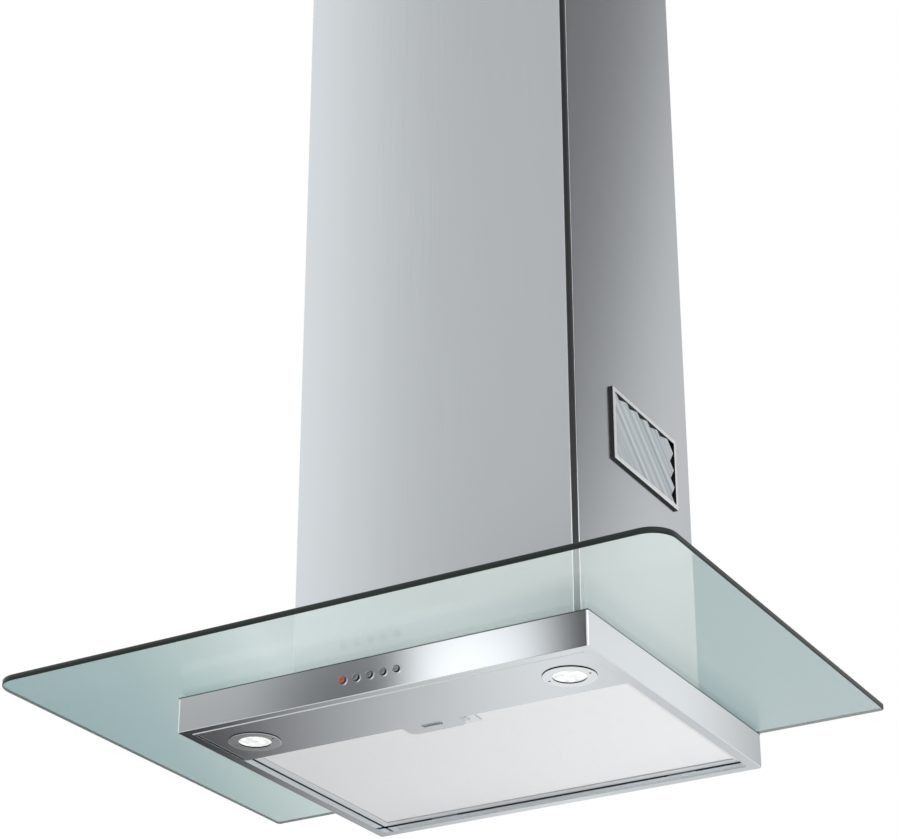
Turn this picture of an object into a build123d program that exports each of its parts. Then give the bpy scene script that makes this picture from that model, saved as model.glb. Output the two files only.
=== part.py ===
from build123d import *
from math import ceil, cos, radians, sin
import os

os.makedirs("parts", exist_ok=True)

# Chimney range hood: a flat glass canopy on a slim steel body, under a box chimney with a blower.
# The origin is on the wall, midway between the four wall screws. +Z is up, +Y points into the
# wall and +X is to the right of someone who faces the hood. All sizes are in millimetres.

# Glass canopy
glass_width = 700.0
glass_depth = 486.0
glass_thickness = 6.0
glass_front_radius = 24.0
glass_rear_radius = 4.0
glass_arris = 0.7
wall_gap = 1.5  # between the glass and the wall

# Body under the glass, folded from sheet steel
body_width = 438.0
body_depth = 370.0
body_height = 34.0
body_corner_radius = 2.5
sheet = 1.0
fold_radius = 0.8
rim_width = 11.0
lip_height = 6.0
plate_fit = 0.2

# Foam gasket between the body and the glass
gasket_thickness = 1.0
gasket_inset = 0.3
gasket_width = 12.0

# Lamp plate, the front strip of the underside
strip_depth = 100.0
tab_width = 60.0
tab_depth = 20.0
tab_radius = 8.0
shoulder_radius = 2.0
plate_gap = 1.2  # at each end, to the rim

# Lamps
lamp_inset = 49.5  # from the side of the body
lamp_setback = 41.5  # in front of the strip's rear edge
ring_radius = 25.2
ring_opening = 15.8
ring_proud = 1.0
ring_ledge = 1.2
ring_bevel = 0.5
barrel_radius = 22.5
barrel_wall = 2.0
barrel_rise = 6.0
dimple_radius = 1.2
dimple_depth = 0.8
lens_thickness = 3.0
lens_fit = 0.2
lamp_housing_height = 9.0

# Push buttons in the fascia
button_names = ["light_button", "fan_off_button", "fan_low_button", "fan_mid_button", "fan_high_button"]
button_pitch = 14.4
button_row_x = -5.0
button_radius = 3.5
button_proud = 3.0
button_stem = 14.0
button_travel = 2.0
button_round = 1.6
button_run = 0.1
collar_rim_radius = 4.8
collar_rim = 0.8
collar_sleeve_radius = 4.2
collar_sleeve = 5.0
block_margin = 9.0
block_depth = 24.0

# Grease filter
filter_gap = 1.5
hinge_gap = 2.5
filter_thickness = 10.0
frame_wall = 2.0
frame_flange = 1.0
frame_border = 8.0
mesh_sheet = 1.0
mesh_fit = 0.2
hook_width = 30.0
hook_inset = 70.0
hook_reach = 8.5
hook_lift = 0.6
hook_thickness = 1.5

# Filter latch in the lamp plate's tab
latch_sheet = 1.5
latch_gap = 0.3
latch_travel = 3.0
thumb_length = 19.0
thumb_depth = 3.0
thumb_drop = 1.5
thumb_round = 1.0
thumb_setback = 5.0  # behind the strip's rear edge
window_gap = 0.8
slider_margin = 4.0
slider_setback = 2.0
tongue_width = 16.0
guide_length = 10.0

# Wall fixing and the bracket behind the motor box
hang_height = 120.0  # of the wall screws' middle above the glass underside
wall_hole_radius = 4.2
wall_hole_spacing_x = 180.0
wall_hole_spacing_z = 120.0
bracket_edge = 22.0
bracket_sheet = 2.0
bracket_depth = 30.0
bracket_foot = 12.0

# Lower chimney
chimney_width = 310.0
chimney_depth = 272.0
chimney_height = 910.0
shadow_gap = 14.0  # from the front panel to the side panels
side_fold = 2.1
rear_return = 12.0

# Upper chimney, which slides inside the lower one
upper_length = 430.0
upper_reveal = 12.0
slide_gap = 0.6
upper_bracket_height = 40.0
upper_bracket_ear = 25.0
upper_hole_radius = 3.2
upper_hole_spacing = 160.0
upper_screw_radius = 2.0
upper_screw_length = 8.0
upper_head_radius = 3.0
upper_head_height = 1.8
thread_fit = 0.05

# Vent grilles in the chimney's sides
grille_length = 145.0
grille_height = 80.0
grille_rear = 36.0  # from the wall
grille_centre = 283.0  # above the glass underside
grille_overlap = 3.0
grille_proud = 3.5
grille_seal = 2.4  # thickness of the seal under the flange
grille_bevel = 0.6
grille_fit = 0.3
spigot_wall = 1.5
spigot_depth = 6.0
flute_pitch = 15.0
flute_depth = 5.0
flute_sheet = 1.0
flute_angle = 40.0
flute_gap_rear = 2.0
flute_gap_top = 0.8
flute_inset = 0.5
flute_root = 0.5

# Motor box and its screws through the glass
box_side_room = 20.0
box_front_room = 27.0
box_flange = 13.0
throat_margin = 10.0
throat_radius = 12.0
screw_inset = 40.0
screw_radius = 2.5
screw_clearance = 0.3
screw_end = 1.2
head_radius = 4.5
head_height = 3.0
bush_wall = 2.2
bush_fit = 0.1
nut_radius = 4.6
nut_height = 4.0
strut_height = 20.0
strut_length = 40.0
strut_sheet = 1.5

# Blower
scroll_room = 63.0
scroll_gap = 6.0
scroll_lift = 16.0
scroll_headroom = 31.0
scroll_half = 62.0
scroll_wall = 2.0
outlet_depth = 76.0
fan_gap = 14.0
fan_side_gap = 6.0
fan_ring = 2.0
blade_count = 28
blade_depth = 8.0
blade_thickness = 1.5
inlet_overlap = 6.0
motor_gap = 14.0
motor_end = 10.0
disc_gap = 4.0
disc_thickness = 2.0
hub_radius = 10.0
hub_length = 16.0
shaft_radius = 4.0
shaft_run = 0.05
bearing_wall = 5.0
bearing_length = 8.0
bearing_fit = 0.05
mount_rim = 8.0
mount_sheet = 3.0
mount_arm = 12.0
mount_arm_count = 3

# Outlet collar and its damper flaps
collar_radius = 75.0
collar_wall = 2.0
collar_height = 60.0
collar_flange = 13.0
stop_width = 4.0
stop_thickness = 2.0
pin_height = 24.0
pin_radius = 2.0
pin_fit = 0.1
flap_thickness = 1.5
flap_gap = 1.0
flap_rest = 0.3
knuckle_wall = 1.5
knuckle_length = 20.0
knuckle_pitch = 55.0
knuckle_gap = 1.0

# Electrical parts on top of the motor box
terminal_length = 44.0
terminal_height = 30.0
terminal_wall = 2.0
terminal_inset = 4.0
gland_radius = 8.0
gland_bore = 4.0
gland_length = 18.0
gland_nut_length = 6.0
gland_nut_radius = 10.0
gland_fit = 0.1
capacitor_radius = 16.0
capacitor_height = 50.0
capacitor_edge = 1.5

# Heights, from the glass downwards and upwards
glass_bottom = -hang_height
glass_top = glass_bottom + glass_thickness
body_top = glass_bottom - gasket_thickness
body_bottom = body_top - body_height
plate_bottom = body_bottom + sheet
plate_top = plate_bottom + sheet
lip_top = body_bottom + lip_height
chimney_top = glass_top + chimney_height
upper_top = chimney_top + upper_reveal

# Distances from the wall, which are negative Y
strip_rear = body_depth - strip_depth
tab_rear = strip_rear - tab_depth
filter_rear = rim_width + hinge_gap
filter_front = strip_rear - sheet - filter_gap
notch_rear = tab_rear - filter_gap
motor_box_width = chimney_width - 2 * box_side_room
motor_box_depth = chimney_depth - bracket_depth - box_front_room
motor_box_front = bracket_depth + motor_box_depth
motor_box_middle = bracket_depth + motor_box_depth / 2

# The motor box is as tall as the blower scroll and the room above it
scroll_radius = (motor_box_depth - scroll_room) / 2
motor_box_height = scroll_lift + 2 * scroll_radius + scroll_headroom + sheet
box_top = glass_top + motor_box_height


def keep(piece, name):
    piece.part.label = name
    export_step(piece.part, f"parts/{name}.step")


# Body shell: walls, rim and the lip round three sides of the filter bay
button_z = (body_bottom + body_top) / 2
button_gaps = len(button_names) - 1
button_start = button_row_x - button_gaps * button_pitch / 2
button_places = [(button_start + i * button_pitch, button_z) for i in range(len(button_names))]
body_middle = (0, -body_depth / 2)
bay_width = body_width - 2 * rim_width
lip_width = bay_width + 2 * sheet
lip_front = strip_rear - plate_fit

with BuildPart() as body_shell:
    with BuildSketch(Plane.XY.offset(body_bottom)):
        with Locations(body_middle):
            RectangleRounded(body_width, body_depth, body_corner_radius)
    extrude(amount=body_height)
    fillet(body_shell.faces().sort_by(Axis.Z)[0].edges(), fold_radius)
    with BuildSketch(Plane.XY.offset(plate_bottom)):
        with Locations(body_middle):
            RectangleRounded(body_width - 2 * sheet, body_depth - 2 * sheet, body_corner_radius - sheet)
    extrude(amount=body_height, mode=Mode.SUBTRACT)
    with BuildSketch(Plane.XY.offset(body_bottom)):
        with Locations(body_middle):
            Rectangle(bay_width, body_depth - 2 * rim_width)
    extrude(amount=sheet, mode=Mode.SUBTRACT)
    with BuildSketch(Plane.XY.offset(body_bottom)):
        with Locations((0, -(rim_width - sheet + lip_front) / 2)):
            Rectangle(lip_width, lip_front - rim_width + sheet)
        with Locations((0, -(rim_width + lip_front) / 2)):
            Rectangle(bay_width, lip_front - rim_width, mode=Mode.SUBTRACT)
    extrude(amount=lip_height)
    with BuildSketch(Plane.XZ.offset(body_depth)):
        with Locations(*button_places):
            Circle(collar_sleeve_radius + button_run)
    extrude(amount=-2 * sheet, mode=Mode.SUBTRACT)
keep(body_shell, "body_shell")

# Places of the screws that clamp the motor box, the glass and the body
throat_width = motor_box_width - 2 * throat_margin
throat_depth = motor_box_depth - 2 * throat_margin
throat_middle = (0, -motor_box_middle)
screw_x = motor_box_width / 2 + box_flange / 2
screw_rows = (bracket_depth + screw_inset, motor_box_front - screw_inset)
screw_places = [(side * screw_x, -row) for side in (-1, 1) for row in screw_rows]
screw_hole = screw_radius + screw_clearance

with BuildPart() as top_plate:
    with BuildSketch(Plane.XY.offset(body_top - sheet)):
        with Locations(body_middle):
            inside = 2 * (sheet + plate_fit)
            RectangleRounded(body_width - inside, body_depth - inside, body_corner_radius - sheet)
        with Locations(throat_middle):
            RectangleRounded(throat_width, throat_depth, throat_radius, mode=Mode.SUBTRACT)
        with Locations(*screw_places):
            Circle(screw_hole, mode=Mode.SUBTRACT)
    extrude(amount=sheet)
keep(top_plate, "top_plate")

with BuildPart() as glass_gasket:
    with BuildSketch(Plane.XY.offset(body_top)):
        with Locations(body_middle):
            Rectangle(body_width - 2 * gasket_inset, body_depth - 2 * gasket_inset)
            inside = 2 * (gasket_inset + gasket_width)
            Rectangle(body_width - inside, body_depth - inside, mode=Mode.SUBTRACT)
    extrude(amount=gasket_thickness)
keep(glass_gasket, "glass_gasket")

# Glass canopy with the air throat and four screw holes
bush_radius = screw_hole + bush_wall

with BuildPart() as glass_canopy:
    with BuildSketch(Plane.XY.offset(glass_bottom)) as glass_outline:
        with Locations((0, -wall_gap - glass_depth / 2)):
            Rectangle(glass_width, glass_depth)
        fillet(glass_outline.vertices().group_by(Axis.Y)[0], glass_front_radius)
        fillet(glass_outline.vertices().group_by(Axis.Y)[-1], glass_rear_radius)
    extrude(amount=glass_thickness)
    chamfer(glass_canopy.faces().sort_by(Axis.Z)[0].edges(), glass_arris)
    chamfer(glass_canopy.faces().sort_by(Axis.Z)[-1].edges(), glass_arris)
    with BuildSketch(Plane.XY.offset(glass_bottom)):
        with Locations(throat_middle):
            RectangleRounded(throat_width, throat_depth, throat_radius)
        with Locations(*screw_places):
            Circle(bush_radius + bush_fit)
    extrude(amount=glass_thickness, mode=Mode.SUBTRACT)
keep(glass_canopy, "glass_canopy")

with BuildPart() as glass_bushes:
    with BuildSketch(Plane.XY.offset(body_top)):
        with Locations(*screw_places):
            Circle(bush_radius)
            Circle(screw_hole, mode=Mode.SUBTRACT)
    extrude(amount=gasket_thickness + glass_thickness)
keep(glass_bushes, "glass_bushes")

nut_bottom = body_top - sheet - nut_height
screw_top = glass_top + sheet

with BuildPart() as canopy_screws:
    with BuildSketch(Plane.XY.offset(nut_bottom - screw_end)):
        with Locations(*screw_places):
            Circle(screw_radius)
    extrude(amount=screw_top - nut_bottom + screw_end)
    with BuildSketch(Plane.XY.offset(screw_top)):
        with Locations(*screw_places):
            Circle(head_radius)
    extrude(amount=head_height)
keep(canopy_screws, "canopy_screws")

with BuildPart() as canopy_nuts:
    with BuildSketch(Plane.XY.offset(nut_bottom)):
        with Locations(*screw_places):
            RegularPolygon(nut_radius, 6)
            Circle(screw_radius + thread_fit, mode=Mode.SUBTRACT)
    extrude(amount=nut_height)
keep(canopy_nuts, "canopy_nuts")

# Lamp plate with its tab, lamp holes, latch window and turned-up rear edge
lamp_distance = strip_rear + lamp_setback
lamp_places = {side: sign * (body_width / 2 - lamp_inset) for side, sign in (("left", -1), ("right", 1))}
thumb_distance = strip_rear - thumb_setback
window_front = thumb_distance + thumb_depth / 2 + latch_travel + window_gap
window_rear = thumb_distance - thumb_depth / 2 - window_gap
plate_front = body_depth - sheet - plate_fit
plate_width = bay_width - 2 * plate_gap
flange_start = tab_width / 2 - sheet
flange_end = bay_width / 2 - filter_gap
tab_flange = tab_depth - tab_radius

with BuildPart() as lamp_plate:
    with BuildSketch(Plane.XY.offset(plate_bottom)) as plate_outline:
        with Locations((0, -(plate_front + strip_rear) / 2)):
            Rectangle(plate_width, plate_front - strip_rear)
        with Locations((0, -(strip_rear + tab_rear) / 2)):
            Rectangle(tab_width, tab_depth)
        fillet(plate_outline.vertices().group_by(Axis.Y)[0], body_corner_radius - sheet)
        fillet(plate_outline.vertices().group_by(Axis.Y)[-1], tab_radius)
        shoulders = plate_outline.vertices().filter_by_position(Axis.X, -tab_width, tab_width)
        shoulders = shoulders.filter_by_position(Axis.Y, -strip_rear - sheet, -strip_rear + sheet)
        fillet(shoulders, shoulder_radius)
        with Locations(*[(x, -lamp_distance) for x in lamp_places.values()]):
            Circle(barrel_radius + plate_fit, mode=Mode.SUBTRACT)
        with Locations((0, -(window_front + window_rear) / 2)):
            window_size = (thumb_length + 2 * window_gap, window_front - window_rear)
            Rectangle(*window_size, mode=Mode.SUBTRACT)
    extrude(amount=sheet)
    with BuildSketch(Plane.XY.offset(plate_top)):
        for sign in (-1, 1):
            with Locations((sign * (flange_start + flange_end) / 2, -strip_rear - sheet / 2)):
                Rectangle(flange_end - flange_start, sheet)
            with Locations((sign * (flange_start + sheet / 2), -strip_rear + tab_flange / 2)):
                Rectangle(sheet, tab_flange)
    extrude(amount=lip_top - plate_top)
keep(lamp_plate, "lamp_plate")

# Lamps: ring, lens and housing on each side
ledge_top = plate_bottom - ring_proud + ring_ledge
barrel_top = plate_top + barrel_rise
dimple_reach = (ring_radius + ring_opening) / 2

for side, lamp_x in lamp_places.items():
    lamp_plane = Plane((lamp_x, -lamp_distance, 0))
    with BuildPart() as lamp_ring:
        with BuildSketch(lamp_plane.offset(plate_bottom)):
            Circle(ring_radius)
        extrude(amount=-ring_proud)
        fillet(lamp_ring.faces().sort_by(Axis.Z)[0].edges(), ring_bevel)
        with BuildSketch(lamp_plane.offset(plate_bottom)):
            Circle(barrel_radius)
        extrude(amount=barrel_top - plate_bottom)
        with BuildSketch(lamp_plane.offset(ledge_top)):
            Circle(barrel_radius - barrel_wall)
        extrude(amount=barrel_top - ledge_top, mode=Mode.SUBTRACT)
        with BuildSketch(lamp_plane.offset(plate_bottom - ring_proud)):
            Circle(ring_opening)
        extrude(amount=ring_ledge, mode=Mode.SUBTRACT)
        with BuildSketch(lamp_plane.offset(plate_bottom - ring_proud)):
            with Locations((-dimple_reach, 0), (dimple_reach, 0)):
                Circle(dimple_radius)
        extrude(amount=dimple_depth, mode=Mode.SUBTRACT)
    keep(lamp_ring, f"lamp_ring_{side}")

    with BuildPart() as lamp_lens:
        with BuildSketch(lamp_plane.offset(ledge_top)):
            Circle(barrel_radius - barrel_wall - lens_fit)
        extrude(amount=lens_thickness)
    keep(lamp_lens, f"lamp_lens_{side}")

    with BuildPart() as lamp_housing:
        with BuildSketch(lamp_plane.offset(barrel_top)):
            Circle(barrel_radius)
        extrude(amount=lamp_housing_height)
    keep(lamp_housing, f"lamp_housing_{side}")

# Switch block behind the fascia, with a guide bore for each button
row_length = button_pitch * button_gaps + 2 * block_margin
block_bottom = plate_top
block_top = button_z + block_margin
block_front = body_depth - sheet
stem_room = button_stem + button_travel + collar_rim

with BuildPart() as switch_block:
    with BuildSketch(Plane.XZ.offset(block_front)):
        with Locations((button_row_x, (block_bottom + block_top) / 2)):
            Rectangle(row_length, block_top - block_bottom)
    extrude(amount=-block_depth)
    with BuildSketch(Plane.XZ.offset(block_front)):
        with Locations(*button_places):
            Circle(button_radius + button_run)
    extrude(amount=-stem_room, mode=Mode.SUBTRACT)
    with BuildSketch(Plane.XZ.offset(block_front)):
        with Locations(*button_places):
            Circle(collar_sleeve_radius + button_run)
    extrude(amount=-collar_sleeve, mode=Mode.SUBTRACT)
keep(switch_block, "switch_block")

with BuildPart() as button_collars:
    with BuildSketch(Plane.XZ.offset(body_depth - collar_sleeve)):
        with Locations(*button_places):
            Circle(collar_sleeve_radius)
    extrude(amount=collar_sleeve)
    with BuildSketch(Plane.XZ.offset(body_depth)):
        with Locations(*button_places):
            Circle(collar_rim_radius)
    extrude(amount=collar_rim)
    with BuildSketch(Plane.XZ.offset(body_depth - collar_sleeve)):
        with Locations(*button_places):
            Circle(button_radius + button_run)
    extrude(amount=collar_sleeve + collar_rim, mode=Mode.SUBTRACT)
keep(button_collars, "button_collars")

for button_name, place in zip(button_names, button_places):
    with BuildPart() as button:
        with BuildSketch(Plane.XZ.offset(body_depth - button_stem)):
            with Locations(place):
                Circle(button_radius)
        extrude(amount=button_stem + button_proud)
        fillet(button.faces().sort_by(Axis.Y)[0].edges(), button_round)
    keep(button, button_name)

# Grease filter: a channel frame that holds two sheets of mesh, hooked on the rear lip
filter_width = bay_width - 2 * filter_gap
notch_width = tab_width + 2 * filter_gap
tongue_bottom = lip_top + frame_flange + latch_gap
tongue_top = tongue_bottom + latch_sheet
slot_width = tongue_width + 2 * window_gap


def filter_outline(inset):
    with Locations((0, -(filter_rear + filter_front) / 2)):
        Rectangle(filter_width - 2 * inset, filter_front - filter_rear - 2 * inset)
    with Locations((0, -(notch_rear - inset + filter_front) / 2)):
        Rectangle(notch_width + 2 * inset, filter_front - notch_rear + inset, mode=Mode.SUBTRACT)


with BuildPart() as filter_frame:
    with BuildSketch(Plane.XY.offset(lip_top)):
        filter_outline(0)
    extrude(amount=filter_thickness)
    with BuildSketch(Plane.XY.offset(lip_top + frame_flange)):
        filter_outline(frame_wall)
    extrude(amount=filter_thickness - 2 * frame_flange, mode=Mode.SUBTRACT)
    with BuildSketch(Plane.XY.offset(lip_top)):
        filter_outline(frame_border)
    extrude(amount=filter_thickness, mode=Mode.SUBTRACT)
    with BuildSketch(Plane.XZ.offset(notch_rear)):
        with Locations((0, (lip_top + frame_flange + tongue_top + latch_gap) / 2)):
            Rectangle(slot_width, tongue_top + latch_gap - lip_top - frame_flange)
    extrude(amount=-frame_wall, mode=Mode.SUBTRACT)
    hook_x = filter_width / 2 - hook_inset
    with BuildSketch(Plane.XY.offset(lip_top + hook_lift)):
        with Locations(*[(sign * hook_x, -filter_rear + hook_reach / 2) for sign in (-1, 1)]):
            Rectangle(hook_width, hook_reach)
    extrude(amount=hook_thickness)
keep(filter_frame, "filter_frame")

with BuildPart() as filter_mesh:
    for mesh_bottom in (frame_flange, filter_thickness - frame_flange - mesh_sheet):
        with BuildSketch(Plane.XY.offset(lip_top + mesh_bottom)):
            filter_outline(frame_wall + mesh_fit)
        extrude(amount=mesh_sheet)
keep(filter_mesh, "filter_mesh")

# Filter latch: a slider on the lamp plate with a thumb piece below and a tongue behind
slider_top = plate_top + latch_sheet
slider_front = window_front + slider_margin
slider_rear = tab_rear + slider_setback
slider_width = thumb_length + 2 * (window_gap + slider_margin)
tongue_end = notch_rear - frame_wall

with BuildPart() as filter_latch:
    with BuildSketch(Plane.XY.offset(plate_bottom - thumb_drop)):
        with Locations((0, -thumb_distance)):
            RectangleRounded(thumb_length, thumb_depth, thumb_round)
    extrude(amount=plate_top - plate_bottom + thumb_drop)
    with BuildSketch(Plane.XY.offset(plate_top)):
        with Locations((0, -(slider_front + slider_rear) / 2)):
            Rectangle(slider_width, slider_front - slider_rear)
    extrude(amount=latch_sheet)
    with BuildSketch(Plane.XY.offset(slider_top)):
        with Locations((0, -slider_rear - latch_sheet / 2)):
            Rectangle(tongue_width, latch_sheet)
    extrude(amount=tongue_top - slider_top)
    with BuildSketch(Plane.XY.offset(tongue_bottom)):
        with Locations((0, -(slider_rear + tongue_end) / 2)):
            Rectangle(tongue_width, slider_rear - tongue_end)
    extrude(amount=latch_sheet)
keep(filter_latch, "filter_latch")

guide_inner = slider_width / 2 + latch_gap
guide_bottom = slider_top + latch_gap

with BuildPart() as latch_guide:
    with BuildSketch(Plane.XZ.offset(slider_front - guide_length)):
        with Locations((0, (plate_top + guide_bottom + sheet) / 2)):
            Rectangle(2 * (guide_inner + sheet), guide_bottom + sheet - plate_top)
        with Locations((0, (plate_top + guide_bottom) / 2)):
            Rectangle(2 * guide_inner, guide_bottom - plate_top, mode=Mode.SUBTRACT)
    extrude(amount=guide_length)
keep(latch_guide, "latch_guide")

# Lower chimney: side panels folded at the front, and a front panel held off them by black corner strips
side_x = chimney_width / 2
side_depth = chimney_depth - sheet - shadow_gap
window_length = grille_length - 2 * grille_overlap
window_height = grille_height - 2 * grille_overlap
grille_origin = (side_x, -grille_rear - grille_length / 2, glass_bottom + grille_centre)
grille_plane = Plane(grille_origin, x_dir=(0, 1, 0), z_dir=(1, 0, 0))

with BuildPart() as chimney_side_right:
    with BuildSketch(Plane.XY.offset(glass_top)):
        with Locations((side_x - sheet / 2, -side_depth / 2)):
            Rectangle(sheet, side_depth)
        with Locations((side_x - side_fold / 2, -side_depth + sheet / 2)):
            Rectangle(side_fold, sheet)
        with Locations((side_x - rear_return / 2, -sheet / 2)):
            Rectangle(rear_return, sheet)
    extrude(amount=chimney_height)
    upright = chimney_side_right.edges().filter_by(Axis.Z)
    fillet(upright.group_by(Axis.Y)[0].sort_by(Axis.X)[-1], fold_radius)
    with BuildSketch(grille_plane):
        Rectangle(window_length, window_height)
    extrude(amount=-sheet, mode=Mode.SUBTRACT)
keep(chimney_side_right, "chimney_side_right")

with BuildPart() as chimney_side_left:
    mirror(chimney_side_right.part, about=Plane.YZ)
keep(chimney_side_left, "chimney_side_left")

with BuildPart() as chimney_front:
    with BuildSketch(Plane.XY.offset(glass_top)):
        with Locations((0, -chimney_depth + sheet / 2)):
            Rectangle(chimney_width, sheet)
    extrude(amount=chimney_height)
    upright = chimney_front.edges().filter_by(Axis.Z)
    fillet(upright.group_by(Axis.Y)[0], fold_radius)
keep(chimney_front, "chimney_front")

corner_x = side_x - side_fold
corner_front = chimney_depth - sheet
corner_depth = shadow_gap + sheet

with BuildPart() as corner_strips:
    with BuildSketch(Plane.XY.offset(glass_top)):
        for sign in (-1, 1):
            with Locations((sign * (corner_x - sheet / 2), -corner_front + corner_depth / 2)):
                Rectangle(sheet, corner_depth)
    extrude(amount=chimney_height)
keep(corner_strips, "corner_strips")

# Vent grille: a flanged frame on a black seal, holding a plate with diagonal flutes, open above and behind
opening_length = window_length - 2 * (grille_fit + spigot_wall)
opening_height = window_height - 2 * (grille_fit + spigot_wall)
along_wall = sin(radians(flute_angle))
along_up = cos(radians(flute_angle))
flute_plane = Plane(grille_origin, x_dir=(0, along_wall, along_up), z_dir=(0, along_up, -along_wall))
flute_count = ceil((opening_length + opening_height) / flute_pitch)
flute_steps = range(-flute_count, flute_count + 1)
flute_crest = grille_proud - flute_inset
flute_line = [(i * flute_pitch / 2, flute_crest - flute_depth * (i % 2)) for i in flute_steps]
flute_back = [(s, n - flute_sheet) for s, n in reversed(flute_line)]
spare_length = flute_root - flute_gap_rear
spare_height = flute_root - flute_gap_top

with BuildPart() as vent_grille_right:
    with BuildSketch(flute_plane):
        Polygon(*flute_line, *flute_back, align=None)
    extrude(amount=opening_length, both=True)
    with BuildSketch(grille_plane.offset(-spigot_depth)):
        with Locations((-(flute_root + flute_gap_rear) / 2, -(flute_root + flute_gap_top) / 2)):
            Rectangle(opening_length + spare_length, opening_height + spare_height)
    extrude(amount=spigot_depth + grille_proud, mode=Mode.INTERSECT)
    with BuildSketch(grille_plane.offset(grille_seal)):
        Rectangle(grille_length, grille_height)
        Rectangle(opening_length, opening_height, mode=Mode.SUBTRACT)
    extrude(amount=grille_proud - grille_seal)
    with BuildSketch(grille_plane.offset(grille_seal)):
        Rectangle(window_length - 2 * grille_fit, window_height - 2 * grille_fit)
        Rectangle(opening_length, opening_height, mode=Mode.SUBTRACT)
    extrude(amount=-spigot_depth - grille_seal)
    chamfer(vent_grille_right.faces().sort_by(Axis.X)[-1].outer_wire().edges(), grille_bevel)
keep(vent_grille_right, "vent_grille_right")

with BuildPart() as vent_grille_left:
    mirror(vent_grille_right.part, about=Plane.YZ)
keep(vent_grille_left, "vent_grille_left")

with BuildPart() as grille_seals:
    with BuildSketch(grille_plane):
        Rectangle(grille_length, grille_height)
        Rectangle(window_length, window_height, mode=Mode.SUBTRACT)
    extrude(amount=grille_seal)
    mirror(about=Plane.YZ)
keep(grille_seals, "grille_seals")

# Upper chimney, its wall bracket and the two screws between them
upper_width = chimney_width - 2 * (sheet + slide_gap)
upper_front = side_depth - sheet - slide_gap
upper_rear = sheet + slide_gap
ear_x = upper_width / 2 - sheet
ear_screw = (-upper_rear - upper_bracket_ear / 2, upper_top - upper_reveal / 2)

with BuildPart() as upper_chimney:
    with BuildSketch(Plane.XY.offset(upper_top - upper_length)):
        with Locations((0, -(upper_front + upper_rear) / 2)):
            Rectangle(upper_width, upper_front - upper_rear)
        with Locations((0, -(upper_front - sheet + upper_rear) / 2)):
            Rectangle(upper_width - 2 * sheet, upper_front - sheet - upper_rear, mode=Mode.SUBTRACT)
    extrude(amount=upper_length)
    upright = upper_chimney.edges().filter_by(Axis.Z)
    fillet(upright.group_by(Axis.Y)[0], fold_radius)
    with BuildSketch(Plane.YZ):
        with Locations(ear_screw):
            Circle(upper_screw_radius + thread_fit)
    extrude(amount=upper_width, both=True, mode=Mode.SUBTRACT)
keep(upper_chimney, "upper_chimney")

upper_bracket_top = upper_top - sheet

with BuildPart() as upper_bracket:
    with BuildSketch(Plane.XY.offset(upper_bracket_top - upper_bracket_height)):
        with Locations((0, -upper_rear - bracket_sheet / 2)):
            Rectangle(2 * ear_x, bracket_sheet)
        for sign in (-1, 1):
            with Locations((sign * (ear_x - bracket_sheet / 2), -upper_rear - upper_bracket_ear / 2)):
                Rectangle(bracket_sheet, upper_bracket_ear)
    extrude(amount=upper_bracket_height)
    with BuildSketch(Plane.XZ.offset(upper_rear)):
        with Locations((0, upper_bracket_top - upper_bracket_height / 2)):
            with GridLocations(upper_hole_spacing, 0, 2, 1):
                Circle(upper_hole_radius)
    extrude(amount=bracket_sheet, mode=Mode.SUBTRACT)
    with BuildSketch(Plane.YZ):
        with Locations(ear_screw):
            Circle(upper_screw_radius + thread_fit)
    extrude(amount=upper_width, both=True, mode=Mode.SUBTRACT)
keep(upper_bracket, "upper_bracket")

with BuildPart() as upper_screws:
    for sign in (-1, 1):
        screw_plane = Plane((sign * upper_width / 2, *ear_screw), x_dir=(0, 1, 0), z_dir=(sign, 0, 0))
        with BuildSketch(screw_plane):
            Circle(upper_head_radius)
        extrude(amount=upper_head_height)
        with BuildSketch(screw_plane):
            Circle(upper_screw_radius)
        extrude(amount=-upper_screw_length)
keep(upper_screws, "upper_screws")

# Motor box over the throat, standing on the glass
scroll_distance = motor_box_front - sheet - scroll_gap - scroll_radius
outlet_distance = scroll_distance - scroll_radius + outlet_depth / 2

with BuildPart() as motor_box:
    with BuildSketch(Plane.XY.offset(glass_top)):
        with Locations(throat_middle):
            Rectangle(motor_box_width, motor_box_depth)
    extrude(amount=motor_box_height)
    with BuildSketch(Plane.XY.offset(glass_top)):
        with Locations(throat_middle):
            Rectangle(motor_box_width + 2 * box_flange, motor_box_depth)
    extrude(amount=sheet)
    with BuildSketch(Plane.XY.offset(glass_top)):
        with Locations(throat_middle):
            Rectangle(motor_box_width - 2 * sheet, motor_box_depth - 2 * sheet)
    extrude(amount=motor_box_height - sheet, mode=Mode.SUBTRACT)
    with BuildSketch(Plane.XY.offset(box_top)):
        with Locations((0, -outlet_distance)):
            Rectangle(2 * (scroll_half - scroll_wall), outlet_depth - 2 * scroll_wall)
    extrude(amount=-sheet, mode=Mode.SUBTRACT)
    with BuildSketch(Plane.XY.offset(glass_top)):
        with Locations(*screw_places):
            Circle(screw_hole)
    extrude(amount=sheet, mode=Mode.SUBTRACT)
keep(motor_box, "motor_box")

# Wall bracket: a channel with four screw holes, welded to the back of the motor box
bracket_width = wall_hole_spacing_x + 2 * bracket_edge
bracket_height = wall_hole_spacing_z + 2 * bracket_edge

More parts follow.
